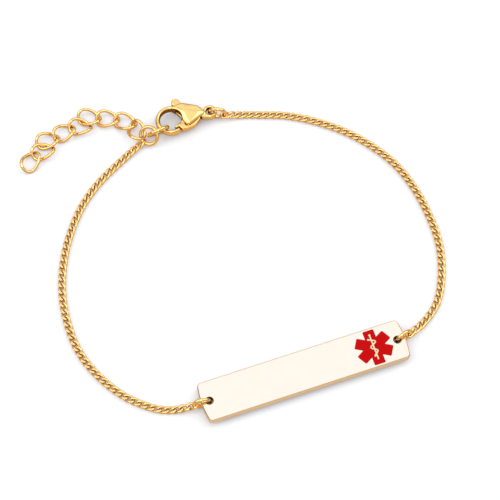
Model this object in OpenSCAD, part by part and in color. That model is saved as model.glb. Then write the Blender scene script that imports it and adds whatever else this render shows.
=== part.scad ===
// Medical alert bracelet, lying in a loop: an engravable plate with an enamelled
// emblem, two lengths of fine curb chain, a claw clasp and an extension chain.
// Millimetres, +Z up. The plate lies along X, and the origin is the middle of the
// wrist loop on the surface that the bracelet lies on.

/* [Plate] */
// Length of the plate over its rounded ends
plate_l = 38.8; // [30:0.2:44]
// Width of the plate
plate_w = 7.6; // [7.2:0.1:10]
// Thickness of the plate
plate_t = 1.4; // [1.1:0.1:1.6]
// Radius of the shallow curve of each end
plate_end_r = 18; // [9:1:60]
// Radius of the four corners
plate_corner_r = 0.7; // [0.4:0.1:1.5]
// Width of the polished bevel along the edges
plate_bevel = 0.15; // [0.05:0.05:0.3]
// Bore of the hole at each end
hole_d = 1.5; // [1.4:0.1:2]
// Metal left between each hole and the end of the plate
hole_margin = 0.75; // [0.6:0.05:1]

/* [Emblem] */
// Length of the star's arms from tip to tip
star_span = 6.8; // [5:0.1:6.9]
// Width of each arm
star_arm_w = 2.1; // [1.6:0.1:2.2]
// Radius of the arms' corners
star_corner_r = 0.25; // [0.1:0.05:0.4]
// Distance from the star's middle to the hole beside it
star_to_hole = 4.5; // [4.4:0.1:10]
// Depth of the enamel
enamel_t = 0.35; // [0.2:0.05:0.6]
// Width of the metal staff
staff_w = 0.26; // [0.2:0.02:0.4]
// Width of the metal serpent that winds round the staff
serpent_w = 0.24; // [0.2:0.02:0.36]

/* [Jump rings] */
// Thickness of the jump rings' wire
ring_wire = 0.6; // [0.5:0.05:0.65]
// Outer diameter of the ring at each end of the plate
plate_ring_d = 3.6; // [3.5:0.1:4.2]
// Outer diameter of the ring in the clasp's eye
eye_ring_d = 3.6; // [3.5:0.1:4.2]
// Outer diameter of the ring that joins the chain and the extension
junction_ring_d = 4; // [3.9:0.1:4.2]
// Outer diameter of the ring that the claw holds
claw_ring_d = 4.6; // [4.5:0.1:4.8]

/* [Fine chain] */
// Length of a link of the fine chain
chain_link_l = 2.24; // [2.2:0.02:2.4]
// Width of a link of the fine chain
chain_link_w = 1.36; // [1.34:0.02:1.5]
// Thickness of the fine chain's wire
chain_wire = 0.34; // [0.28:0.02:0.36]
// How far the link's wire rises and dips as the link twists
chain_twist = 0.34; // [0.33:0.01:0.4]
// Length of the larger link at each end of the fine chain
end_link_l = 2.6; // [2.5:0.05:2.8]
// Width of the larger link at each end of the fine chain
end_link_w = 1.7; // [1.64:0.02:1.8]

/* [Clasp] */
// Inner radius of the claw
claw_r = 2.1; // [2:0.05:2.5]
// Width of the hook that forms the claw
hook_w = 0.8; // [0.6:0.05:1]
// Thickness of the hook
hook_t = 1.7; // [1.4:0.1:1.9]
// Distance from the claw's edge to the middle of the pivot pin
pivot_inset = 1.75; // [1.6:0.05:2]
// Distance from the pivot pin to the middle of the eye, along the clasp
eye_reach = 3.6; // [3.4:0.1:5]
// Distance of the claw's middle from the clasp's axis, towards the knob
claw_offset = 0.65; // [0.4:0.05:0.9]
// Thickness of the body at its crown
body_t = 3; // [2.8:0.1:3.4]
// Outer diameter of the eye
eye_d = 2.7; // [2.5:0.1:3]
// Bore of the eye
eye_bore = 1.5; // [1.4:0.05:1.6]
// Thickness of the eye
eye_t = 1.4; // [1.2:0.1:1.6]
// Thickness of the lever
lever_t = 1; // [0.8:0.05:1.1]
// Thickness of the gate's head, outside the body
gate_t = 1.5; // [1.2:0.1:1.7]
// Diameter of the lever's pivot pin
pin_d = 0.8; // [0.6:0.05:1]
// Diameter of the thumb knob
knob_d = 1.5; // [1.3:0.1:1.7]

/* [Extension chain] */
// Length of an extension link
extension_l = 4.7; // [4.6:0.05:4.9]
// Width of an extension link
extension_w = 3.5; // [3.4:0.05:3.7]
// Thickness of the extension's wire
extension_wire = 0.5; // [0.4:0.02:0.52]
// How far an extension link's wire rises and dips as the link twists
extension_twist = 0.65; // [0.6:0.05:0.75]

/* [Hidden] */
// Clearance between pieces that only touch, and between the lever and its slot
gap = 0.03;
slot_gap = 0.1;
// Radial clearance of the pin in the lever
pin_gap = 0.04;
// Clearance of a ring's wire from the metal that it passes
ring_gap = 0.32;
// How far a cut runs past the face that it opens
past = 1;

// Sides of a link's wire, and places round each kind of link
wire_sides = 5;
chain_steps = 10;
big_wire_sides = 6;
big_steps = 16;
// Fineness of the round solids, of a hull's circles and of the plate's long end curves
$fn = 48;
hull_fn = 32;
end_fn = 360;

// The plate lies on its two rings, so its underside is off the surface
plate_lift = 0.9;
plate_pos = [0, -28, plate_lift];
hole_x = plate_l / 2 - hole_margin - hole_d / 2;
star_pos = [hole_x - star_to_hole, 0];

// The clasp's eye, which all of the clasp is placed from. The claw's ring runs under the
// hook and holds the clasp a little off the surface.
clasp_lift = 0.2;
eye_pos = [0.9, 26.9, body_t / 2 + clasp_lift];

// Directions in which the rings leave what they hang on, in degrees from +X
plate_ring_left_dir = 172;
plate_ring_right_dir = 16;
eye_ring_dir = -24;

// The claw's ring stands across the hook, turned and leaning
claw_ring_dir = 6;
claw_ring_lean = 20;
claw_ring_at = 206;
// The junction ring's tilts about X and then Y, and the way to it from the claw's ring
junction_tilt = [30, -35];
junction_dir = 183;

// Chosen points of the two fine chains' routes between their ends
left_route = [[-17.5, 23.4], [-23, 20.4], [-27.5, 16.8], [-31.4, 12], [-34.4, 6.6], [-36.4, 0.8],
    [-37.2, -5.2], [-36.8, -11.2], [-34.8, -16.8], [-31.6, -21.8], [-27.6, -25.4], [-24.4, -26.9]];
right_route = [[6.6, 25], [9.5, 24], [14.6, 22], [19.4, 19], [23.8, 15.2], [27.4, 10.8],
    [30.2, 5.8], [31.8, 0.2], [32.4, -5.6], [32.2, -11.6], [30.6, -17.4], [27.8, -22.6],
    [24.2, -25.6]];
// Chosen places of the extension's links from the junction to the free end, and the
// heading of each in degrees. Only the first, which hangs on the junction ring, is raised.
extension_route = [[-13.3, 27.9, 90], [-14.6, 30.6, -40], [-17.5, 32.3, -25], [-20.7, 33.7, -30],
    [-22.9, 32.4, -25], [-26.1, 32.3, 10], [-29.5, 31.7, -5], [-31, 29.8, -5], [-33.8, 28.6, 40]];
first_link_rise = 0.6;
first_link_tilt = -10;

// Vectors and placing

function unit(v) = v / norm(v);

function dir(angle) = [cos(angle), sin(angle), 0];

// Axes of a link that lies along a direction, rolled about it
function axes(along, roll = 0) =
    let (x = unit(along), y = unit(cross([0, 0, 1], x)), z = cross(x, y))
    [x, y * cos(roll) + z * sin(roll), z * cos(roll) - y * sin(roll)];

// A jump ring in the X-Y plane
module jump_ring(outer_d) {
    rotate_extrude()
        translate([(outer_d - ring_wire) / 2, 0])
            circle(d = ring_wire, $fn = hull_fn);
}

// A jump ring that stands on edge, its plane leaning from upright by an angle
module standing_ring(pos, outer_d, heading, lean = 0) {
    translate(pos)
        rotate([90 + lean, 0, heading])
            jump_ring(outer_d);
}

// Twisted links

// The middle of a link's wire at an angle round the link, and the way that it runs there
function link_mid(l, w, wire, twist, a) =
    [(l - wire) / 2 * cos(a), (w - wire) / 2 * sin(a), -twist * sin(2 * a)];
function link_run(l, w, wire, twist, a) =
    unit([-(l - wire) / 2 * sin(a), (w - wire) / 2 * cos(a), -2 * twist * cos(2 * a)]);

// The points of one link's wire, ring by ring
function link_points(l, w, wire, twist, steps, sides, pos, ax) = [
    for (i = [0:steps - 1])
        let (a = 360 * (i + 0.5) / steps, mid = link_mid(l, w, wire, twist, a),
             run = link_run(l, w, wire, twist, a), side = unit(cross(run, [0, 0, 1])),
             top = cross(side, run))
        for (j = [0:sides - 1])
            let (b = 360 * j / sides, p = mid + wire / 2 * (cos(b) * side + sin(b) * top))
            pos + ax[0] * p[0] + ax[1] * p[1] + ax[2] * p[2]];

// The faces of a link whose first point has a given number
function link_faces(steps, sides, first) = [
    for (i = [0:steps - 1], j = [0:sides - 1])
        let (i2 = (i + 1) % steps, j2 = (j + 1) % sides)
        [first + i * sides + j, first + i * sides + j2, first + i2 * sides + j2,
            first + i2 * sides + j]];

// Routes

// A point between two of a route's points, on a smooth curve through them all
function route_point(p, k, t) =
    let (a = p[max(k - 1, 0)], b = p[k], c = p[k + 1], d = p[min(k + 2, len(p) - 1)])
    b + (c - a) * t / 2 + (2 * a - 5 * b + 4 * c - d) * t * t / 2
        + (3 * b - a - 3 * c + d) * t * t * t / 2;

route_fine = 16;
function route_curve(p) = concat(
    [for (k = [0:len(p) - 2], s = [0:route_fine - 1]) route_point(p, k, s / route_fine)],
    [p[len(p) - 1]]);

// Length of a curve up to each of its points
function lengths(q) = [for (i = 0, s = 0; i < len(q);
    s = s + (i + 1 < len(q) ? norm(q[i + 1] - q[i]) : 0), i = i + 1) s];

// Points along a curve from its first to its last, about a pitch apart, with the first
// and the last step longer by an amount
function chain_places(q, pitch, longer) =
    let (s = lengths(q), total = s[len(s) - 1], n = round((total - 2 * longer) / pitch),
         step = (total - 2 * longer) / n)
    [for (i = [0:n])
        let (d = i == 0 ? 0 : i == n ? total : longer + step * i)
        [for (k = [0:2]) lookup(d, [for (j = [0:len(q) - 1]) [s[j], q[j][k]]])]];

function run_at(p, i) = p[min(i + 1, len(p) - 1)] - p[max(i - 1, 0)];

// Points raised together until none is below the surface
function rest_on_surface(points) =
    let (rise = max(0, -min([for (p = points) p[2]]))) [for (p = points) p + [0, 0, rise]];

// A curb chain from one end through a route on the surface to the other end, with a
// larger link at each end. Its first links turn about the chain, from a roll at the start
// to flat.
chain_z = chain_twist + chain_wire / 2;
chain_slack = 0.26;
chain_pitch = chain_link_l - 2 * chain_wire - chain_slack;
end_longer = (end_link_l - chain_link_l) / 2;
roll_links = 3;
module curb_chain(start, route, end, roll_start = 0) {
    q = concat([start], [for (p = route) [p[0], p[1], chain_z]], [end]);
    p = chain_places(route_curve(q), chain_pitch, end_longer);
    n = len(p);
    points = [for (i = [0:n - 1])
        let (is_end = i == 0 || i == n - 1,
             roll = roll_start * max(0, 1 - i / roll_links))
        each rest_on_surface(link_points(
            is_end ? end_link_l : chain_link_l, is_end ? end_link_w : chain_link_w,
            chain_wire, chain_twist, chain_steps, wire_sides, p[i], axes(run_at(p, i), roll)))];
    faces = [for (i = [0:n - 1])
        each link_faces(chain_steps, wire_sides, i * chain_steps * wire_sides)];
    polyhedron(points, faces, convexity = 10);
}

// Plate and emblem

// The plate's outline, drawn in from its full size by an inset
module plate_outline(inset = 0) {
    half_w = plate_w / 2 - inset;
    end_r = plate_end_r - inset;
    end_x = plate_l / 2 - plate_end_r;
    r = plate_corner_r - inset;
    corner_x = end_x + sqrt(pow(end_r - r, 2) - pow(half_w - r, 2));
    hull()
        for (sx = [-1, 1])
            scale([sx, 1]) {
                for (sy = [-1, 1])
                    translate([corner_x, sy * (half_w - r)])
                        circle(r = r, $fn = hull_fn);
                intersection() {
                    translate([end_x, 0])
                        circle(r = end_r, $fn = end_fn);
                    translate([0, r - half_w])
                        square([plate_l, 2 * (half_w - r)]);
                }
            }
}

// A star of six arms with rounded corners
module star_shape() {
    offset(r = star_corner_r, $fn = hull_fn)
        for (a = [30, 90, 150])
            rotate(a)
                square([star_span - 2 * star_corner_r, star_arm_w - 2 * star_corner_r],
                    center = true);
}

// The staff and the serpent, as shares of the star's arms
staff_l = star_span * 0.72;
staff_knob_d = staff_w * 1.6;
serpent_swing = star_arm_w * 0.33;
serpent_taper = 0.45;
serpent_l = star_span * 0.5;
serpent_head_d = serpent_w * 1.5;
serpent_waves = 1.88;
serpent_turn = -50;
serpent_steps = 42;
function serpent_mid(t) =
    [serpent_swing * (1 - serpent_taper * t) * sin(360 * serpent_waves * t + serpent_turn),
        serpent_l * (0.5 - t)];
function serpent_side(t) =
    let (d = serpent_mid(t + 0.5 / serpent_steps) - serpent_mid(t - 0.5 / serpent_steps))
    unit([d[1], -d[0]]);

// A plain staff with a serpent wound round it
module staff_shape() {
    square([staff_w, staff_l], center = true);
    translate([0, staff_l / 2])
        circle(d = staff_knob_d);
    half = serpent_w / 2;
    polygon(concat(
        [for (i = [0:serpent_steps]) let (t = i / serpent_steps)
            serpent_mid(t) + half * serpent_side(t)],
        [for (i = [serpent_steps:-1:0]) let (t = i / serpent_steps)
            serpent_mid(t) - half * serpent_side(t)]));
    translate(serpent_mid(0))
        circle(d = serpent_head_d);
    translate(serpent_mid(1))
        circle(r = half);
}

// The enamelled fields of the star round the figure, without their narrowest corners,
// drawn in by an inset
field_r = 0.08;
field_fn = 16;
module enamel_fields(inset = 0) {
    offset(delta = -inset)
        offset(r = field_r, $fn = field_fn)
            offset(delta = -field_r)
                difference() {
                    star_shape();
                    staff_shape();
                }
}

module plate() {
    color("#f7ecd2")
        translate(plate_pos)
            difference() {
                hull() {
                    linear_extrude(plate_t)
                        plate_outline(plate_bevel);
                    translate([0, 0, plate_bevel])
                        linear_extrude(plate_t - 2 * plate_bevel)
                            plate_outline();
                }
                for (sx = [-1, 1])
                    translate([sx * hole_x, 0, -past])
                        cylinder(d = hole_d, h = plate_t + 2 * past);
                translate([star_pos[0], star_pos[1], plate_t - enamel_t])
                    linear_extrude(enamel_t + past)
                        enamel_fields();
            }
}

module star_enamel() {
    color("#d81414")
        translate(plate_pos + [star_pos[0], star_pos[1], plate_t - enamel_t + gap])
            linear_extrude(enamel_t - gap)
                enamel_fields(gap);
}

// Rings

// How far a standing ring's middle lies from the hole that its wire passes. The wire
// crosses the hole's middle height on the hole's axis, less a little slack.
ring_slack = 0.09;
function ring_reach(outer_d, mid_z) =
    let (r = (outer_d - ring_wire) / 2) sqrt(r * r - pow(outer_d / 2 - mid_z, 2)) - ring_slack;

plate_mid_z = plate_lift + plate_t / 2;
function plate_ring_pos(side, heading) =
    [side * hole_x, plate_pos[1], plate_ring_d / 2]
        + ring_reach(plate_ring_d, plate_mid_z) * dir(heading);
left_ring_pos = plate_ring_pos(-1, plate_ring_left_dir);
right_ring_pos = plate_ring_pos(1, plate_ring_right_dir);
eye_ring_pos = [eye_pos[0], eye_pos[1], eye_ring_d / 2]
    + ring_reach(eye_ring_d, eye_pos[2]) * dir(eye_ring_dir);

module plate_ring_left() {
    color("goldenrod")
        standing_ring(left_ring_pos, plate_ring_d, plate_ring_left_dir);
}

module plate_ring_right() {
    color("goldenrod")
        standing_ring(right_ring_pos, plate_ring_d, plate_ring_right_dir);
}

module eye_ring() {
    color("goldenrod")
        standing_ring(eye_ring_pos, eye_ring_d, eye_ring_dir);
}

// Places of the clasp's parts from the middle of its eye, with the claw towards -X
claw = [-claw_r - pivot_inset - eye_reach, claw_offset, 0];
pivot = claw + [claw_r + pivot_inset, 0, 0];
function from_claw(out, angle) = claw + (claw_r + out) * dir(angle);

// The claw's ring is centred near the middle of the hook's wire. Its lower wire runs
// under the hook, and it carries the junction ring, whose middle lies from its own by a
// share of the two rings' radii and a little lower.
claw_ring_out = 1.25;
claw_ring_low = 0.03;
claw_ring_pos = [eye_pos[0], eye_pos[1], 0] + from_claw(claw_ring_out, claw_ring_at)
    + [0, 0, ring_wire / 2 + claw_ring_low + (claw_ring_d - ring_wire) / 2 * cos(claw_ring_lean)];
junction_share = 0.43;
junction_drop = 0.4;
junction_ring_pos = claw_ring_pos - [0, 0, junction_drop]
    + junction_share * (claw_ring_d + junction_ring_d) / 2 * dir(junction_dir);

module claw_ring() {
    color("goldenrod")
        standing_ring(claw_ring_pos, claw_ring_d, claw_ring_dir, claw_ring_lean);
}

module junction_ring() {
    color("goldenrod")
        translate(junction_ring_pos)
            rotate([junction_tilt[0], junction_tilt[1], 0])
                jump_ring(junction_ring_d);
}

// Fine chains

// How far the middle of an end link lies from the middle of the standing ring that it
// hangs on, at the height where the ring's wire passes it
end_link_z = 1.15;
function end_link_reach(outer_d) =
    sqrt(pow((outer_d - ring_wire) / 2, 2) - pow(outer_d / 2 - end_link_z, 2))
        + end_link_l / 2 - chain_wire - ring_wire / 2 - ring_gap;
// The left chain's first link stands in the junction ring, rolled. Its middle lies from
// the ring's by these shares of the ring's radius.
left_way = [-0.86, -0.29, -0.55];
left_start = junction_ring_pos + junction_ring_d / 2 * left_way;
left_roll = 30;
function end_link_pos(ring_pos, outer_d, heading) =
    [ring_pos[0], ring_pos[1], end_link_z] + end_link_reach(outer_d) * dir(heading);

module chain_left() {
    color("#e8ab42")
        curb_chain(left_start, left_route,
            end_link_pos(left_ring_pos, plate_ring_d, plate_ring_left_dir), left_roll);
}

module chain_right() {
    color("#e8ab42")
        curb_chain(end_link_pos(eye_ring_pos, eye_ring_d, eye_ring_dir), right_route,
            end_link_pos(right_ring_pos, plate_ring_d, plate_ring_right_dir));
}

// Clasp

// The knob's distance from the hook and its angle round the claw, and the hook's two ends
knob_clear = 0.15;
knob = from_claw(hook_w + knob_clear + knob_d / 2, 59);
hook_from = 56;
hook_to = 292;
oval_sides = 16;

// A circle of the clasp's outline, placed by its distance from the claw's edge and angle
module claw_circle(out, angle, r) {
    p = from_claw(out, angle);
    translate([p[0], p[1]])
        circle(r = r, $fn = hull_fn);
}

// The body's cast shape, a teardrop with soft ridges. Its points are each a distance from
// the claw's edge, an angle round the claw, a radius and a share of the body's thickness:
// the neck at the eye, the back, the shoulder, the hook's root and the corner beside the
// gate, and then the crests from the knob over the crown to the eye and to the gate.
body_points = [[3.66, -4, 0.6, 0.62], [2.86, 4, 1, 0.62], [1.2, 33, 0.75, 0.68],
    [hook_w / 2, 58, hook_w / 2, 0.57], [1.25, -32, hook_w / 2, 0.6], [0.7, 48, 0.25, 0.74],
    [0.85, 14, 0.25, 1], [3, -3, 0.25, 0.84], [1.5, -29, 0.2, 0.8]];
// The lower cheek that joins the eye's rim behind the lever, a little thinner than the eye
cheek_points = [[3.85, -10.7, 0.35], [4.52, -10.9, 0.3]];
cheek_share = 0.93;
module body_block() {
    difference() {
        union() {
            hull()
                for (p = body_points)
                    linear_extrude(body_t * p[3], center = true)
                        claw_circle(p[0], p[1], p[2]);
            hull()
                for (p = cheek_points)
                    linear_extrude(eye_t * cheek_share, center = true)
                        claw_circle(p[0], p[1], p[2]);
        }
        translate(claw)
            cylinder(r = claw_r, h = body_t + past, center = true);
    }
}

// The slot that the lever turns in, open towards the knob, the claw and the gate. Its
// depth behind the pivot differs from the gate's side to the knob's, and its wall beside
// the hook's root is placed from the claw's middle.
slot_behind = [1.85, 1.35];
slot_root = [1.45, 1.6];
module lever_slot() {
    far = body_t * 2;
    linear_extrude(lever_t + 2 * slot_gap, center = true)
        polygon([[pivot[0] + slot_behind[0], -far], [pivot[0] + slot_behind[0], 0],
            [pivot[0] + slot_behind[1], 1], [pivot[0] + slot_behind[1], far],
            [claw[0] + slot_root[0], far], [claw[0] + slot_root[0], claw[1] + slot_root[1]],
            [claw[0] - past, claw[1]], [claw[0] - past, -far]]);
}

// An oval section of the hook and the eye
module oval(wide, high) {
    polygon([for (i = [0:oval_sides - 1])
        let (a = 360 * i / oval_sides) [wide / 2 * cos(a), high / 2 * sin(a)]]);
}

module hook() {
    rotate([0, 0, hook_from])
        rotate_extrude(angle = hook_to - hook_from)
            translate([claw_r + hook_w / 2, 0])
                oval(hook_w, hook_t);
}

// The rounded ring of the eye, a little narrower inside than its bore
eye_lip = 0.1;
module eye() {
    wide = (eye_d - eye_bore) / 2 + eye_lip;
    rotate_extrude()
        translate([(eye_d - wide) / 2, 0])
            oval(wide, eye_t);
}

// The pin ends a little below the body's faces
pin_inset = 0.4;
pin_l = body_t - 2 * pin_inset;

module clasp_body() {
    color("#ecb04a")
        translate(eye_pos)
            difference() {
                union() {
                    difference() {
                        body_block();
                        lever_slot();
                    }
                    translate(claw)
                        hook();
                    eye();
                }
                cylinder(d = eye_bore, h = body_t + past, center = true);
                translate(pivot)
                    cylinder(d = pin_d + 2 * gap, h = pin_l + 2 * gap, center = true);
            }
}

module clasp_pin() {
    color("#c98f32")
        translate(eye_pos + pivot)
            cylinder(d = pin_d, h = pin_l, center = true);
}

// Groups of circles that the gate is blended from: its bar, from the tip inside the
// hook's end round to the pivot, and its thicker head. Each circle is a distance from the
// claw's edge, an angle and a radius.
gate_tip_r = 0.25;
gate_tip = [-slot_gap - gate_tip_r, -72, gate_tip_r];
gate_knee = [0.62, -44, 0.75];
gate_bar = [[gate_tip, gate_knee],
    [gate_knee, [1.75, -25, 0.9], [2.6, -11, 0.8], [pivot_inset, 0, 1]]];
gate_head = [[gate_tip, [0.5, -51, 0.6]]];
gate_cut = 8;

// Blended groups of circles less the hook's end
module gate_shape(groups) {
    far = body_t * 3;
    difference() {
        union()
            for (group = groups)
                hull()
                    for (c = group)
                        claw_circle(c[0], c[1], c[2]);
        translate([claw[0], claw[1]])
            intersection() {
                difference() {
                    circle(r = claw_r + hook_w + past);
                    circle(r = claw_r - slot_gap);
                }
                rotate(hook_to + gate_cut)
                    translate([-far, -far])
                        square([2 * far, far]);
            }
    }
}

// The lever's arm, from the pivot to the knob, which is a stub with a rounded rim
arm_r = [0.6, 0.55];
knob_round = 1.15;
module clasp_lever() {
    color("#f0bb5a")
        translate(eye_pos)
            difference() {
                union() {
                    linear_extrude(lever_t, center = true) {
                        gate_shape(gate_bar);
                        hull() {
                            translate([pivot[0], pivot[1]])
                                circle(r = arm_r[0], $fn = hull_fn);
                            translate([knob[0], knob[1]])
                                circle(r = arm_r[1], $fn = hull_fn);
                        }
                    }
                    linear_extrude(gate_t, center = true)
                        gate_shape(gate_head);
                    translate(knob)
                        intersection() {
                            cylinder(d = knob_d, h = lever_t, center = true);
                            sphere(d = knob_d * knob_round);
                        }
                }
                translate(pivot)
                    cylinder(d = pin_d + 2 * pin_gap, h = lever_t + past, center = true);
            }
}

// Extension chain

module extension_link(i) {
    q = extension_route[i - 1];
    z = extension_twist + extension_wire / 2 + (i == 1 ? first_link_rise : 0);
    tilt = i == 1 ? first_link_tilt : 0;
    run = [cos(q[2]) * cos(tilt), sin(q[2]) * cos(tilt), sin(tilt)];
    color("#eab045")
        polyhedron(
            link_points(extension_l, extension_w, extension_wire, extension_twist, big_steps,
                big_wire_sides, [q[0], q[1], z], axes(run, tilt)),
            link_faces(big_steps, big_wire_sides, 0), convexity = 4);
}

plate();
star_enamel();
plate_ring_left();
plate_ring_right();
chain_left();
chain_right();
eye_ring();
clasp_body();
clasp_pin();
clasp_lever();
junction_ring();
claw_ring();
for (i = [1:len(extension_route)])
    extension_link(i);
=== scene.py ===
"""The looks of a medical alert bracelet that lies in a loop.

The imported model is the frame. It gives every place, and the operators below dress it with
smooth rings, links and castings. Lengths are metres, +Z is up and the plate lies along X.
"""

import math

import bmesh
import bpy
import numpy as np
from bpy.props import FloatProperty, FloatVectorProperty, PointerProperty
from bpy.types import Operator, Panel, PropertyGroup
from mathutils import Matrix, Vector


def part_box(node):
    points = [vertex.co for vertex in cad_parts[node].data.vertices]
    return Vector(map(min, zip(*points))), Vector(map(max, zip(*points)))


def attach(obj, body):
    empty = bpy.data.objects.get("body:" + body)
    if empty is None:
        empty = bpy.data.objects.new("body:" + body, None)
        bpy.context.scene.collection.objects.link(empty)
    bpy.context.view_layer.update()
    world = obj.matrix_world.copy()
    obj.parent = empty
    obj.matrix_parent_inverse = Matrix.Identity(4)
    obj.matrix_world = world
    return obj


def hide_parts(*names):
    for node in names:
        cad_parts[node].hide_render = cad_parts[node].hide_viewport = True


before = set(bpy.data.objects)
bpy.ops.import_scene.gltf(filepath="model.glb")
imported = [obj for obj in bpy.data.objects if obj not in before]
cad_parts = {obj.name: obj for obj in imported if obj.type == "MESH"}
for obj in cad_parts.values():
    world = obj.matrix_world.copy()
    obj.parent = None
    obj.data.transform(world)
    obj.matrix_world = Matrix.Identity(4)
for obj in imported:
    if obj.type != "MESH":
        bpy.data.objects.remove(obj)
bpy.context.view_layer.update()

bl_info = {
    "name": "Medical Alert Bracelet",
    "version": (1, 0, 0),
    "blender": (4, 5, 0),
    "location": "3D View > Sidebar > Bracelet",
    "description": "Dresses a bracelet with gold plating and enamel",
    "category": "Add Mesh",
}

MM = 0.001
UP = np.array([0, 0, 1])
BODY = "bracelet"
LEVER_BODY = "clasp_lever"
EXTENSION = sorted(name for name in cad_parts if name.startswith("extension_link_"))
RINGS = ("plate_ring_left", "plate_ring_right", "eye_ring", "junction_ring", "claw_ring")

# Steps along each kind of wire, and round its section
RING_STEPS = (96, 20)
FINE_STEPS = (40, 12)
BIG_STEPS = (72, 18)
# A power below 1 gives a fine link straighter sides
FINE_SQUARE = 0.95
# Height of a small fine link's ground flat over its middle, in millimetres
FINE_FLAT = 0.38
# Corners of the frame's solids closer than this are one corner, in millimetres
SAME_CORNER = 0.001
# How often each casting is smoothed, and the two draws of one pass
BODY_PASSES, LEVER_PASSES = 400, 60
DRAW_IN, DRAW_BACK = 0.6, -0.5

# What all plating shares: the size of its clouds of deeper tint and of its rubbed spots, in
# millimetres, the clouds' tone, and how far the spots change the roughness
CLOUD_SIZE, RUB_SIZE = 1.6, 0.35
CLOUD_TONE = (0.97, 0.94, 0.86)
RUB_LOW, RUB_HIGH = 0.7, 1.4
# The painted shade in its crevices: its dark tone, the shares of open space round a point at which
# the painted shade is full and at which it ends, and how far from the point open space is looked
# for, in millimetres
CREVICE_SHADE_TONE = (0.3, 0.1, 0.03)
CREVICE_FULL, CREVICE_ENDS = 0.15, 0.6
CREVICE, WIRE_CREVICE, CLASP_CREVICE = 0.6, 0.35, 2.5

# The plate's finish goes by how much a surface faces up or down, 0 on its sides and 1 on its
# faces: where the full polish begins, and the middle and half the span of the bevel
POLISH_FROM = 0.95
BEVEL_MIDDLE, BEVEL_HALF = 0.7, 0.2
# The painted darker reflection, in a deeper gold, on the bevel
BEVEL_SHADE_TONE = (1, 0.8, 0.45)
# Roughness of the plate's sides
SATIN = 0.5
# The strip of the star that holds the staff and the serpent: half its width and how far in
# from the star's ends it stops, in millimetres
ARM_HALF, ARM_INSET = 0.95, 0.2
EMBLEM_TONE = (0.95, 0.83, 0.6)

# The frame's upright bores, in millimetres: the claw's radius, its hook's width and the way
# from its middle to the eye's, the eye's bore, and the plate's holes and how far in from its
# ends they are
CLAW_RADIUS, HOOK_WIDTH = 2.1, 0.8
CLAW_TO_EYE = (7.45, -0.65)
EYE_BORE = 1.5
HOLE_WIDTH, HOLE_INSET = 1.5, 1.5
# The tone of the painted shade on a bore's wall, and the share of the radius over which it fades
BORE_SHADE_TONE = (0.3, 0.2, 0.12)
BORE_BLUR = 0.1

# Half the surface's width, in metres, and the share of the light that its paper gives back
SURFACE_HALF = 2
PAPER_SHARE = 0.88
# The studio's light by height, from 0 at the horizon to 1 overhead
SKY = (
    (0.02, (0.12, 0.1, 0.08)),
    (0.4, (0.76, 0.79, 0.83)),
    (0.9, (1, 1.08, 1.18)),
    (1, (1.2, 1.25, 1.3)),
)
SKY_STRENGTH = 0.98
# How the camera itself sees the studio
PALE = (0.95, 0.96, 0.97)
# Each softbox's name, its place and size in metres, and its brightness
SOFTBOXES = (
    ("back_softbox", (0.2, 0.65, 0.42), (0.9, 0.22), 0.3),
    ("left_softbox", (-0.5, 0.1, 0.5), (0.3, 0.6), 1.6),
    ("right_softbox", (0.5, 0.05, 0.5), (0.3, 0.6), 1.6),
    ("front_softbox", (-0.137, -0.39, 0.912), (0.25, 0.25), 7),
)
# The camera's place and aim and its sensor's width, in millimetres, and its focal length and
# the photograph's width, in pixels
CAMERA_EYE, CAMERA_AIM = (-68.44, -195.12, 456.06), (-1.03, -1.56, 0)
SENSOR = 36
FOCAL_PIXELS, PHOTO_PIXELS = 2720, 500
# The nearest and the farthest that the camera sees, in metres
NEAREST, FARTHEST = 0.05, 20


def linear(code):
    """The linear colour of an sRGB hex value."""
    channels = [int(code[i : i + 2], 16) / 255 for i in (1, 3, 5)]
    return [c / 12.92 if c <= 0.04045 else ((c + 0.055) / 1.055) ** 2.4 for c in channels]


def length(name, description, millimetres):
    """A length that the user can change, given in millimetres."""
    return FloatProperty(
        name=name, description=description, default=millimetres * MM, unit="LENGTH", precision=5
    )


def colour(name, description, code):
    """A colour that the user can change, given as an sRGB hex value."""
    return FloatVectorProperty(
        name=name, description=description, default=linear(code), subtype="COLOR", min=0, max=1
    )


class BraceletSizes(PropertyGroup):
    """Sizes that the frame doesn't give."""

    fine_wire: length("Fine Wire", "Thickness of the fine chain's wire", 0.42)
    fine_twist: length("Fine Twist", "How far a fine link's wire rises and dips", 0.3)
    fine_link_l: length("Fine Link Length", "Length of a fine link", 2.32)
    fine_link_w: length("Fine Link Width", "Width of a fine link", 1.44)
    end_link_l: length("End Link Length", "Length of the larger link at a chain's end", 2.68)
    end_link_w: length("End Link Width", "Width of the larger link at a chain's end", 1.78)
    big_wire: length("Extension Wire", "Thickness of the extension's wire", 0.57)
    big_twist: length("Extension Twist", "How far an extension link's wire rises and dips", 0.61)
    big_link_l: length("Extension Link Length", "Length of an extension link", 4.74)
    big_link_w: length("Extension Link Width", "Width of an extension link", 3.54)
    ring_wire: length("Ring Wire", "Thickness of the jump rings' wire", 0.65)
    casting_edge: length("Casting Edge", "Fineness of the clasp's softened edges", 0.05)


class BraceletColours(PropertyGroup):
    """Colours of the finishes, as they look under white light."""

    plating: colour("Gold Plating", "Plating of the rings, the chains and the clasp", "#FFD78A")
    plate: colour("Plate", "Paler polished plating of the plate", "#FFF1E3")
    enamel: colour("Enamel", "Fired enamel of the star", "#BC0101")
    surface: colour("Surface", "The surface that the bracelet lies on", "#FFFFFF")
    card: colour("Card", "How the surface looks in reflections", "#D6BA96")


def add_node(tree, kind, inputs=None, **settings):
    """Adds a node with its settings. Each input, by name or number, is a value or a socket."""
    node = tree.nodes.new(kind)
    for name, value in settings.items():
        setattr(node, name, value)
    for name, value in (inputs or {}).items():
        if isinstance(value, bpy.types.NodeSocket):
            tree.links.new(value, node.inputs[name])
        else:
            node.inputs[name].default_value = value
    return node


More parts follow.
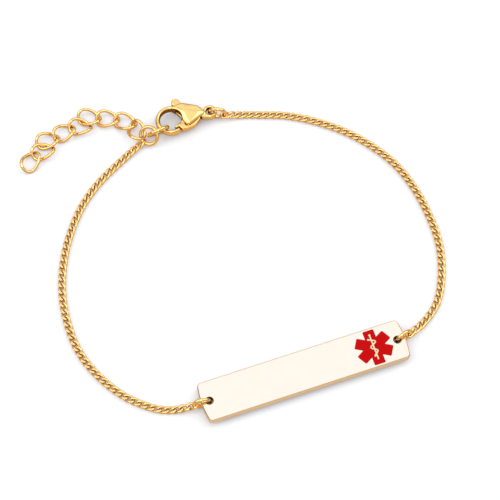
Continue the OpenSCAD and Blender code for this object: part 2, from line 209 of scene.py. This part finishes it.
def new_material(name):
    """An empty material, its node tree and its Principled shader, already connected."""
    made = bpy.data.materials.new(name)
    made.use_nodes = True
    tree = made.node_tree
    tree.nodes.clear()
    shader = add_node(tree, "ShaderNodeBsdfPrincipled")
    add_node(tree, "ShaderNodeOutputMaterial", {"Surface": shader.outputs[0]})
    return made, tree, shader


def shader_input(tree, name):
    """An input of a finish's Principled shader, and the socket that feeds it."""
    shader = next(node for node in tree.nodes if node.type == "BSDF_PRINCIPLED")
    return shader.inputs[name], shader.inputs[name].links[0].from_socket


def rgba(value):
    """A colour with full alpha."""
    return (*value, 1)


def mm_noise(tree, size, detail=3):
    """Noise in object space whose grains are about that many millimetres across."""
    place = add_node(tree, "ShaderNodeTexCoord")
    return add_node(
        tree,
        "ShaderNodeTexNoise",
        {"Vector": place.outputs["Object"], "Scale": 1 / (size * MM), "Detail": detail},
    )


def rippled(tree, shader, size, depth, detail):
    """Gives a finish small waves of a size and a depth in millimetres."""
    wave = mm_noise(tree, size, detail)
    bump = add_node(
        tree,
        "ShaderNodeBump",
        {"Height": wave.outputs["Fac"], "Strength": 1, "Distance": depth * MM},
    )
    tree.links.new(bump.outputs[0], shader.inputs["Normal"])


def toned(tree, share, tone):
    """Multiplies a finish's colour by a tone where a share is 1."""
    base, source = shader_input(tree, "Base Color")
    mixed = add_node(
        tree,
        "ShaderNodeMix",
        {"Factor": share, "A": source, "B": rgba(tone)},
        data_type="RGBA",
        blend_type="MULTIPLY",
    )
    tree.links.new(mixed.outputs[2], base)


def polished_plating(name, base, rough, wave, depth, crevice=CREVICE):
    """Gold-tone plating over polished steel: mirror bright and a little uneven in tint and
    gloss, with painted brown shade in its crevices and slight waves, which break up its
    reflections.
    wave and depth are the waves' size and crevice is how far the painted crevice shade reaches, in
    millimetres."""
    made, tree, shader = new_material(name)
    shader.inputs["Metallic"].default_value = 1
    cloud = mm_noise(tree, CLOUD_SIZE)
    deeper = [c * k for c, k in zip(base, CLOUD_TONE)]
    tint = add_node(
        tree,
        "ShaderNodeMix",
        {"Factor": cloud.outputs["Fac"], "A": rgba(base), "B": rgba(deeper)},
        data_type="RGBA",
    )
    # Painted shade: the colour darkens to a dark brown where little open space is near, in crevices
    # and where parts touch
    room = add_node(tree, "ShaderNodeAmbientOcclusion", {"Distance": crevice * MM}, samples=8)
    crevice_shade = add_node(
        tree,
        "ShaderNodeMapRange",
        {
            "Value": room.outputs["AO"],
            "From Min": CREVICE_FULL,
            "From Max": CREVICE_ENDS,
            "To Min": 1,
            "To Max": 0,
        },
    )
    tree.links.new(tint.outputs[2], shader.inputs["Base Color"])
    toned(tree, crevice_shade.outputs[0], CREVICE_SHADE_TONE)
    rub = mm_noise(tree, RUB_SIZE)
    polish = add_node(
        tree,
        "ShaderNodeMapRange",
        {"Value": rub.outputs["Fac"], "To Min": rough * RUB_LOW, "To Max": rough * RUB_HIGH},
    )
    tree.links.new(polish.outputs[0], shader.inputs["Roughness"])
    rippled(tree, shader, wave, depth, 1)
    return made


def painted_bore_shade(tree, middle, radius):
    """Paints shade on the wall of an upright bore: all within its radius is darkened."""
    place = add_node(tree, "ShaderNodeTexCoord")
    away = add_node(
        tree,
        "ShaderNodeVectorMath",
        {0: place.outputs["Object"], 1: (*middle, 0)},
        operation="SUBTRACT",
    )
    flat = add_node(
        tree, "ShaderNodeVectorMath", {0: away.outputs[0], 1: (1, 1, 0)}, operation="MULTIPLY"
    )
    reach = add_node(tree, "ShaderNodeVectorMath", {0: flat.outputs[0]}, operation="LENGTH")
    share = add_node(
        tree,
        "ShaderNodeMapRange",
        {
            "Value": reach.outputs["Value"],
            "From Min": radius,
            "From Max": radius + BORE_BLUR * radius,
            "To Min": 1,
            "To Max": 0,
        },
    )
    toned(tree, share.outputs[0], BORE_SHADE_TONE)


def set_material(piece, made):
    """Gives a piece one material."""
    piece.data.materials.clear()
    piece.data.materials.append(made)


def new_mesh(name, vertices, faces):
    """A mesh from faces and vertices in metres."""
    mesh = bpy.data.meshes.new(name)
    mesh.from_pydata([tuple(v) for v in vertices], [], faces)
    return mesh


def new_piece(name, mesh, made, node, body=BODY):
    """A smooth piece from a mesh, which rides on a body and replaces a node."""
    mesh.shade_smooth()
    piece = bpy.data.objects.new(name, mesh)
    bpy.context.scene.collection.objects.link(piece)
    set_material(piece, made)
    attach(piece, body)
    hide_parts(node)
    return piece


def loose_solids(node):
    """The vertices of each loose solid of a node of the frame, as arrays."""
    grid = bmesh.new()
    grid.from_mesh(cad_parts[node].data)
    bmesh.ops.remove_doubles(grid, verts=grid.verts, dist=SAME_CORNER * MM)
    left = set(grid.verts)
    solids = []
    while left:
        reached = [left.pop()]
        for vertex in reached:
            for edge in vertex.link_edges:
                other = edge.other_vert(vertex)
                if other in left:
                    left.discard(other)
                    reached.append(other)
        solids.append(np.array([v.co[:] for v in reached]))
    grid.free()
    return solids


def solid_axes(points):
    """The middle of a solid and its long, wide and thin axes, as rows, right-handed and with
    the thin axis upwards."""
    middle = points.mean(0)
    _, vectors = np.linalg.eigh(np.cov((points - middle).T))
    long, wide = vectors[:, 2], vectors[:, 1]
    thin = np.cross(long, wide)
    if thin[2] < 0:
        wide, thin = -wide, -thin
    return middle, np.array([long, wide, thin])


def solid_length(points, middle, axes):
    """The length of a solid along its long axis."""
    reach = (points - middle) @ axes[0]
    return reach.max() - reach.min()


def turns(count):
    """That many even angles once round."""
    return np.linspace(0, 2 * math.pi, count, endpoint=False)


def tube(centres, radius, sides):
    """Vertices and faces of a closed wire along a ring of points."""
    count = len(centres)
    run = np.roll(centres, -1, 0) - np.roll(centres, 1, 0)
    run /= np.linalg.norm(run, axis=1)[:, None]
    side = np.cross(run, UP)
    side /= np.linalg.norm(side, axis=1)[:, None]
    top = np.cross(side, run)
    turn = turns(sides)[None, :, None]
    section = np.cos(turn) * side[:, None] + np.sin(turn) * top[:, None]
    vertices = (centres[:, None] + radius * section).reshape(-1, 3)
    faces = []
    for i in range(count):
        for j in range(sides):
            i2, j2 = (i + 1) % count, (j + 1) % sides
            faces.append((i * sides + j, i * sides + j2, i2 * sides + j2, i2 * sides + j))
    return vertices, faces


def twisted_link(long, wide, wire, twist, steps, square=1, flat=None):
    """Vertices and faces of one twisted link round the origin, its length along X. A lower
    square gives straighter sides, and flat is the height of a ground upper side."""
    places, sides = steps
    turn = turns(places)
    across, up = np.cos(turn), np.sin(turn)
    x = (long - wire) / 2 * np.sign(across) * abs(across) ** square
    y = (wide - wire) / 2 * np.sign(up) * abs(up) ** square
    z = -twist * np.sin(2 * turn)
    vertices, faces = tube(np.stack([x, y, z], 1), wire / 2, sides)
    if flat:
        vertices[:, 2] = np.minimum(vertices[:, 2], flat)
    return vertices, faces


def link_piece(name, node, links, made):
    """One piece of twisted links, each placed on a loose solid of a node. links gives the
    mesh for a solid of a given length."""
    vertices, faces = [], []
    for points in loose_solids(node):
        middle, axes = solid_axes(points)
        own, own_faces = links(solid_length(points, middle, axes))
        first = len(vertices)
        vertices.extend(middle + own @ axes)
        faces.extend(tuple(first + k for k in face) for face in own_faces)
    return new_piece(name, new_mesh(name, vertices, faces), made, node)


def smoothed(mesh, passes, swell):
    """Smooths a mesh's edges. Each pass draws the vertices towards their neighbours' mean
    and then most of the way back, and a swell at the end makes up for what is lost."""
    count = len(mesh.vertices)
    place = np.empty(count * 3)
    mesh.vertices.foreach_get("co", place)
    place = place.reshape(-1, 3)
    ends = np.empty(len(mesh.edges) * 2, dtype=int)
    mesh.edges.foreach_get("vertices", ends)
    one, two = ends.reshape(-1, 2).T
    joined = np.bincount(ends, minlength=count)[:, None]
    for share in (DRAW_IN, DRAW_BACK) * passes:
        total = np.stack(
            [
                np.bincount(one, place[two, k], count) + np.bincount(two, place[one, k], count)
                for k in range(3)
            ],
            1,
        )
        place += share * (total / joined - place)
    mesh.vertices.foreach_set("co", place.ravel())
    mesh.update()
    out = np.empty(count * 3)
    mesh.vertex_normals.foreach_get("vector", out)
    place += swell * out.reshape(-1, 3)
    mesh.vertices.foreach_set("co", place.ravel())
    mesh.update()


def softened(name, node, edge, passes, made, body):
    """A copy of a node's solid with its sharp edges softened, as a casting's are. It is
    remeshed and smoothed in millimetres."""
    size = 1 / MM
    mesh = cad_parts[node].data.copy()
    mesh.transform(Matrix.Scale(size, 4))
    draft = bpy.data.objects.new(name + "_draft", mesh)
    bpy.context.scene.collection.objects.link(draft)
    remesh = draft.modifiers.new("remesh", "REMESH")
    remesh.mode = "VOXEL"
    remesh.voxel_size = edge * size
    bpy.context.view_layer.update()
    seen = draft.evaluated_get(bpy.context.evaluated_depsgraph_get())
    cast = bpy.data.meshes.new_from_object(seen)
    bpy.data.objects.remove(draft)
    smoothed(cast, passes, edge * size)
    cast.transform(Matrix.Scale(MM, 4))
    cast.name = name
    return new_piece(name, cast, made, node, body)


class BRACELET_OT_plate(Operator):
    """Finish the plate and its enamelled star"""

    bl_idname = "bracelet.plate"
    bl_label = "Plate and Star"

    def execute(self, context):
        colours = context.scene.bracelet_colours
        # Plated and buffed sheet: its long, barely felt waves leave the face a calm mirror,
        # which takes the pale tone of the light over it
        face = polished_plating("polished_plate", colours.plate, rough=0.12, wave=6, depth=0.0006)
        self.satin_sides(face.node_tree)
        self.emblem(face.node_tree)
        self.holes(face.node_tree)
        set_material(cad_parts["plate"], face)
        # Fired enamel: an even, deep red with a faint unevenness. Its gloss is held back, so
        # that no highlight pales it
        enamel, tree, shader = new_material("fired_enamel")
        shader.inputs["Base Color"].default_value = rgba(colours.enamel)
        shader.inputs["Roughness"].default_value = 0.4
        shader.inputs["Specular IOR Level"].default_value = 0.06
        rippled(tree, shader, size=0.5, depth=0.004, detail=2)
        set_material(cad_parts["star_enamel"], enamel)
        return {"FINISHED"}

    def satin_sides(self, tree):
        """The plate's stamped sides and holes stay satin where its faces are buffed, and its
        bevel, picked out by how it faces, gets a painted darker reflection in a deeper gold."""
        roughness, polish = shader_input(tree, "Roughness")
        place = add_node(tree, "ShaderNodeTexCoord")
        split = add_node(tree, "ShaderNodeSeparateXYZ", {0: place.outputs["Normal"]})
        level = add_node(tree, "ShaderNodeMath", {0: split.outputs["Z"]}, operation="ABSOLUTE")
        satin = add_node(
            tree,
            "ShaderNodeMapRange",
            {
                "Value": level.outputs[0],
                "From Max": POLISH_FROM,
                "To Min": SATIN,
                "To Max": polish,
            },
        )
        tree.links.new(satin.outputs[0], roughness)
        # Painted reflection: the bevel, found by how it faces, is toned a darker, deeper gold
        bevel = add_node(
            tree,
            "ShaderNodeMath",
            {0: level.outputs[0], 1: BEVEL_MIDDLE, 2: BEVEL_HALF},
            operation="COMPARE",
        )
        toned(tree, bevel.outputs[0], BEVEL_SHADE_TONE)

    def emblem(self, tree):
        """The staff and the serpent, left standing in the star, are struck and not buffed, so
        they look a deeper gold than the face round them."""
        low, high = (np.array(corner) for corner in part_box("star_enamel"))
        place = add_node(tree, "ShaderNodeTexCoord")
        middle = add_node(
            tree,
            "ShaderNodeVectorMath",
            {0: place.outputs["Object"], 1: tuple((low + high) / 2)},
            operation="SUBTRACT",
        )
        split = add_node(tree, "ShaderNodeSeparateXYZ", {0: middle.outputs[0]})
        half_length = (high - low)[1] / 2 - ARM_INSET * MM
        inside = []
        for axis, half in (("X", ARM_HALF * MM), ("Y", half_length)):
            away = add_node(
                tree, "ShaderNodeMath", {0: split.outputs[axis]}, operation="ABSOLUTE"
            )
            near = add_node(
                tree, "ShaderNodeMath", {0: away.outputs[0], 1: half}, operation="LESS_THAN"
            )
            inside.append(near.outputs[0])
        both = add_node(
            tree, "ShaderNodeMath", {0: inside[0], 1: inside[1]}, operation="MULTIPLY"
        )
        toned(tree, both.outputs[0], EMBLEM_TONE)

    def holes(self, tree):
        """Paints shade on the walls of the plate's two holes."""
        low, high = (np.array(corner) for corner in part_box("plate"))
        for end, inwards in ((low[0], 1), (high[0], -1)):
            hole = (end + inwards * HOLE_INSET * MM, (low[1] + high[1]) / 2)
            painted_bore_shade(tree, hole, HOLE_WIDTH / 2 * MM)


class BRACELET_OT_rings(Operator):
    """Make the smooth jump rings"""

    bl_idname = "bracelet.rings"
    bl_label = "Jump Rings"

    def execute(self, context):
        wire = context.scene.bracelet_sizes.ring_wire
        plating = context.scene.bracelet_colours.plating
        # Plated steel wire, bent and tumbled: a bright line of light along each ring, broken
        # up a little by short waves
        made = polished_plating("gold_plated_ring", plating, rough=0.1, wave=0.8, depth=0.004)
        places, sides = RING_STEPS
        turn = turns(places)
        for node in RINGS:
            (points,) = loose_solids(node)
            middle, axes = solid_axes(points)
            radius = (solid_length(points, middle, axes) - wire) / 2
            ring = radius * np.stack([np.cos(turn), np.sin(turn), 0 * turn], 1)
            vertices, faces = tube(ring, wire / 2, sides)
            name = "smooth_" + node
            new_piece(name, new_mesh(name, middle + vertices @ axes, faces), made, node)
        return {"FINISHED"}


class BRACELET_OT_fine_chains(Operator):
    """Make the two fine curb chains of smooth twisted links"""

    bl_idname = "bracelet.fine_chains"
    bl_label = "Fine Chains"

    def execute(self, context):
        sizes = context.scene.bracelet_sizes
        plating = context.scene.bracelet_colours.plating
        # Plated curb chain, ground flat and tumbled: broad, soft highlights on the links and
        # painted brown shade in the gaps between them
        made = polished_plating(
            "gold_plated_wire", plating, rough=0.24, wave=0.4, depth=0.004, crevice=WIRE_CREVICE
        )
        kind = (sizes.fine_wire, sizes.fine_twist, FINE_STEPS, FINE_SQUARE)
        small = twisted_link(sizes.fine_link_l, sizes.fine_link_w, *kind, FINE_FLAT * MM)
        large = twisted_link(sizes.end_link_l, sizes.end_link_w, *kind)
        limit = (sizes.fine_link_l + sizes.end_link_l) / 2
        for side in ("left", "right"):
            link_piece(
                "curb_" + side,
                "chain_" + side,
                lambda reach: large if reach > limit else small,
                made,
            )
        return {"FINISHED"}


class BRACELET_OT_extension(Operator):
    """Make the extension's big twisted links"""

    bl_idname = "bracelet.extension"
    bl_label = "Extension Chain"

    def execute(self, context):
        sizes = context.scene.bracelet_sizes
        plating = context.scene.bracelet_colours.plating
        # Plated steel wire, bent into links: mirror bright, with the slight waves of bending
        made = polished_plating("gold_plated_link", plating, rough=0.1, wave=0.8, depth=0.006)
        link = twisted_link(
            sizes.big_link_l, sizes.big_link_w, sizes.big_wire, sizes.big_twist, BIG_STEPS
        )
        for node in EXTENSION:
            link_piece("smooth_" + node, node, lambda reach: link, made)
        return {"FINISHED"}


class BRACELET_OT_clasp(Operator):
    """Make the clasp's cast body and lever and finish its pin"""

    bl_idname = "bracelet.clasp"
    bl_label = "Clasp"

    def execute(self, context):
        edge = context.scene.bracelet_sizes.casting_edge
        plating = context.scene.bracelet_colours.plating
        # Plated casting, buffed: slow, deeper waves on its slopes, and painted dark shade in its
        # hollows and bores
        cast = polished_plating(
            "gold_plated_casting", plating, rough=0.12, wave=1.2, depth=0.012, crevice=CLASP_CREVICE
        )
        # The same casting for the gate, with a shorter reach of painted crevice shade and no
        # painted bore shade, so its head stays bright where it crosses the hollow
        gate = polished_plating("gold_plated_gate", plating, rough=0.12, wave=1.2, depth=0.012)
        self.bores(cast.node_tree)
        softened("cast_body", "clasp_body", edge, BODY_PASSES, cast, BODY)
        softened("cast_lever", "clasp_lever", edge, LEVER_PASSES, gate, LEVER_BODY)
        # Turned and plated pin: duller than the castings, with fine marks
        pin = polished_plating("turned_pin", plating, rough=0.25, wave=0.1, depth=0.002)
        set_material(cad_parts["clasp_pin"], pin)
        return {"FINISHED"}

    def bores(self, tree):
        """Paints shade on the walls of the claw's hollow and of the eye."""
        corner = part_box("clasp_body")[0]
        claw = np.array(corner[:2]) + (CLAW_RADIUS + HOOK_WIDTH) * MM
        painted_bore_shade(tree, claw, CLAW_RADIUS * MM)
        painted_bore_shade(tree, claw + np.array(CLAW_TO_EYE) * MM, EYE_BORE / 2 * MM)


class BRACELET_OT_stage(Operator):
    """Lay out the white surface, the soft lights and the camera"""

    bl_idname = "bracelet.stage"
    bl_label = "Stage"

    def execute(self, context):
        scene = context.scene
        scene.view_settings.view_transform = "Standard"
        self.surface(scene)
        self.sky(scene)
        for softbox in SOFTBOXES:
            self.softbox(scene, *softbox)
        self.camera(scene)
        return {"FINISHED"}

    def surface(self, scene):
        """A plain white surface, with a warm card's tone where the metal mirrors it."""
        half = SURFACE_HALF
        corners = [(-half, -half, 0), (half, -half, 0), (half, half, 0), (-half, half, 0)]
        floor = bpy.data.objects.new("surface", new_mesh("surface", corners, [(0, 1, 2, 3)]))
        scene.collection.objects.link(floor)
        # Coated paper: an even, matt white with hardly any gloss
        made, tree, shader = new_material("matt_paper")
        colours = scene.bracelet_colours
        ray = add_node(tree, "ShaderNodeLightPath")
        tone = add_node(
            tree,
            "ShaderNodeMix",
            {
                "Factor": ray.outputs["Is Glossy Ray"],
                "A": rgba([PAPER_SHARE * c for c in colours.surface]),
                "B": rgba(colours.card),
            },
            data_type="RGBA",
        )
        tree.links.new(tone.outputs[2], shader.inputs["Base Color"])
        shader.inputs["Roughness"].default_value = 0.9
        shader.inputs["Specular IOR Level"].default_value = 0.1
        set_material(floor, made)

    def sky(self, scene):
        """A studio that lights the bracelet white from overhead and dim from its walls, and
        that the camera sees in one pale tone."""
        world = bpy.data.worlds.new("studio")
        scene.world = world
        world.use_nodes = True
        tree = world.node_tree
        tree.nodes.clear()
        place = add_node(tree, "ShaderNodeTexCoord")
        split = add_node(tree, "ShaderNodeSeparateXYZ", {0: place.outputs["Generated"]})
        ramp = add_node(tree, "ShaderNodeValToRGB", {"Fac": split.outputs["Z"]})
        stops = ramp.color_ramp.elements
        stops[0].position, stops[1].position = SKY[0][0], SKY[-1][0]
        for height, _ in SKY[1:-1]:
            stops.new(height)
        for stop, (_, light) in zip(stops, SKY):
            stop.color = rgba(light)
        ray = add_node(tree, "ShaderNodeLightPath")
        seen = add_node(
            tree,
            "ShaderNodeMix",
            {"Factor": ray.outputs["Is Camera Ray"], "A": ramp.outputs[0], "B": rgba(PALE)},
            data_type="RGBA",
        )
        light = add_node(
            tree, "ShaderNodeBackground", {"Color": seen.outputs[2], "Strength": SKY_STRENGTH}
        )
        add_node(tree, "ShaderNodeOutputWorld", {"Surface": light.outputs[0]})

    def softbox(self, scene, name, place, size, brightness):
        """A soft light that faces the middle of the bracelet, with an even brightness."""
        data = bpy.data.lights.new(name, "AREA")
        data.shape = "RECTANGLE"
        data.size, data.size_y = size
        data.energy = brightness * math.pi * size[0] * size[1]
        lamp = bpy.data.objects.new(name, data)
        lamp.location = place
        lamp.rotation_euler = Vector(place).to_track_quat("Z", "Y").to_euler()
        scene.collection.objects.link(lamp)

    def camera(self, scene):
        """The camera of the photograph, fitted to the plate, the rings and the links."""
        data = bpy.data.cameras.new("camera")
        data.sensor_width = SENSOR
        data.lens = SENSOR * FOCAL_PIXELS / PHOTO_PIXELS
        data.clip_start = NEAREST
        data.clip_end = FARTHEST
        eye, aim = Vector(CAMERA_EYE) * MM, Vector(CAMERA_AIM) * MM
        camera = bpy.data.objects.new("camera", data)
        camera.location = eye
        camera.rotation_euler = (aim - eye).to_track_quat("-Z", "Y").to_euler()
        scene.collection.objects.link(camera)
        scene.camera = camera


class BRACELET_PT_panel(Panel):
    """Lists the bracelet's operators and properties"""

    bl_label = "Bracelet"
    bl_idname = "BRACELET_PT_panel"
    bl_space_type = "VIEW_3D"
    bl_region_type = "UI"
    bl_category = "Bracelet"

    def draw(self, context):
        for operator in OPERATORS:
            self.layout.operator(operator.bl_idname)
        for group in (context.scene.bracelet_sizes, context.scene.bracelet_colours):
            column = self.layout.column()
            for name in group.bl_rna.properties.keys():
                if name not in ("rna_type", "name"):
                    column.prop(group, name)


OPERATORS = (
    BRACELET_OT_plate,
    BRACELET_OT_rings,
    BRACELET_OT_fine_chains,
    BRACELET_OT_extension,
    BRACELET_OT_clasp,
    BRACELET_OT_stage,
)
CLASSES = (BraceletSizes, BraceletColours, *OPERATORS, BRACELET_PT_panel)


def register():
    for made in CLASSES:
        bpy.utils.register_class(made)
    bpy.types.Scene.bracelet_sizes = PointerProperty(type=BraceletSizes)
    bpy.types.Scene.bracelet_colours = PointerProperty(type=BraceletColours)


def unregister():
    del bpy.types.Scene.bracelet_colours
    del bpy.types.Scene.bracelet_sizes
    for made in reversed(CLASSES):
        bpy.utils.unregister_class(made)


def main():
    register()
    bpy.ops.bracelet.plate()
    bpy.ops.bracelet.rings()
    bpy.ops.bracelet.fine_chains()
    bpy.ops.bracelet.extension()
    bpy.ops.bracelet.clasp()
    bpy.ops.bracelet.stage()


if __name__ == "__main__":
    main()
